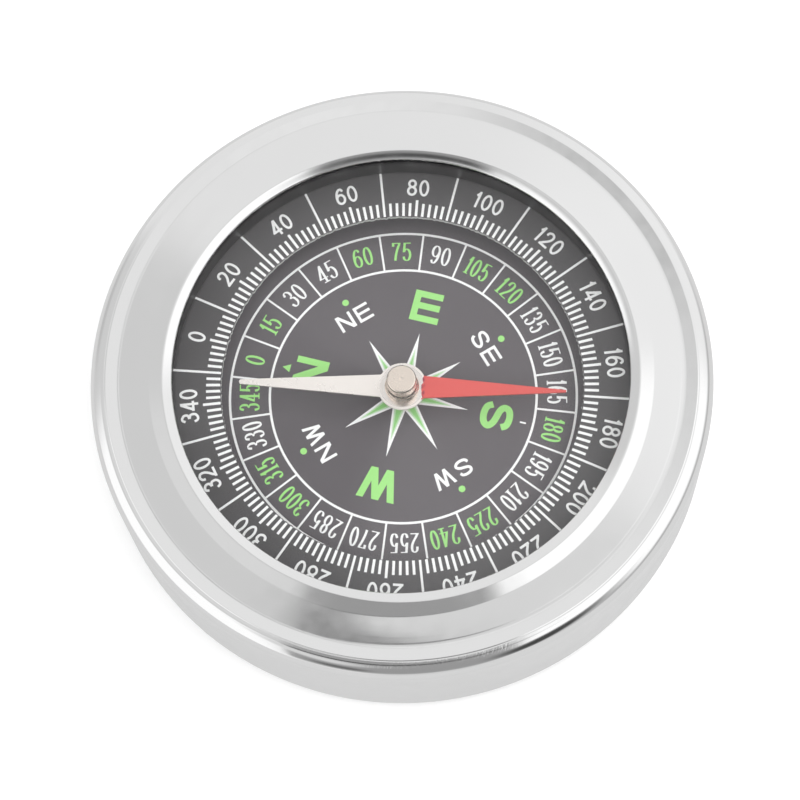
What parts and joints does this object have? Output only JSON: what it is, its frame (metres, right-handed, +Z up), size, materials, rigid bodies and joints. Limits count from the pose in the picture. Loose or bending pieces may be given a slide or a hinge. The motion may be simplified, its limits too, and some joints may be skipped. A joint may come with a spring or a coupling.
{
  "type": "pocket compass",
  "caption": "Round pocket compass: pressed steel case and bezel, clear crystal, raised degree ring over a printed dial, and a needle that turns on a point.",
  "frame": {"origin": "centre of the flat back, at the lowest point of the case", "axes": "+Z up through the crystal along the pivot's axis, +Y to the dial's north mark, +X to the dial's east mark"},
  "size_m": [0.075, 0.075, 0.017],
  "materials": {
    "stainless_steel": "polished",
    "crystal_glass": "clear, polished",
    "gasket_rubber": "matt",
    "seat_plastic": "gloss black",
    "ring_print": "black print with white degrees, white cut edge",
    "dial_print": "dark grey print with green and white marks",
    "housing_plastic": "moulded black",
    "pad_felt": "felt",
    "brass": "turned",
    "pin_steel": "ground point",
    "needle_steel": "nickel plated, one half painted red",
    "hub_nickel": "nickel plated, satin",
    "jewel_glass": "polished cup"
  },
  "bodies": {
    "case": {"case_cup": "stainless_steel", "bezel": "stainless_steel", "crystal": "crystal_glass", "crystal_gasket": "gasket_rubber", "crystal_seat": "seat_plastic", "degree_ring": "ring_print", "ring_spacer": "housing_plastic", "dial_plate": "dial_print", "housing": "housing_plastic", "backing_pad": "pad_felt", "pivot_bush": "brass", "bush_washer": "brass", "pivot_pin": "pin_steel"},
    "needle_unit": {"needle": "needle_steel", "needle_hub": "hub_nickel", "jewel": "jewel_glass", "clinch_ring": "hub_nickel"}
  },
  "joints": [
    {"name": "needle_spin", "type": "hinge", "parent": "case", "child": "needle_unit", "pos_m": [0, 0, 0.0125], "axis": [0, 0, 1], "continuous": true}
  ]
}
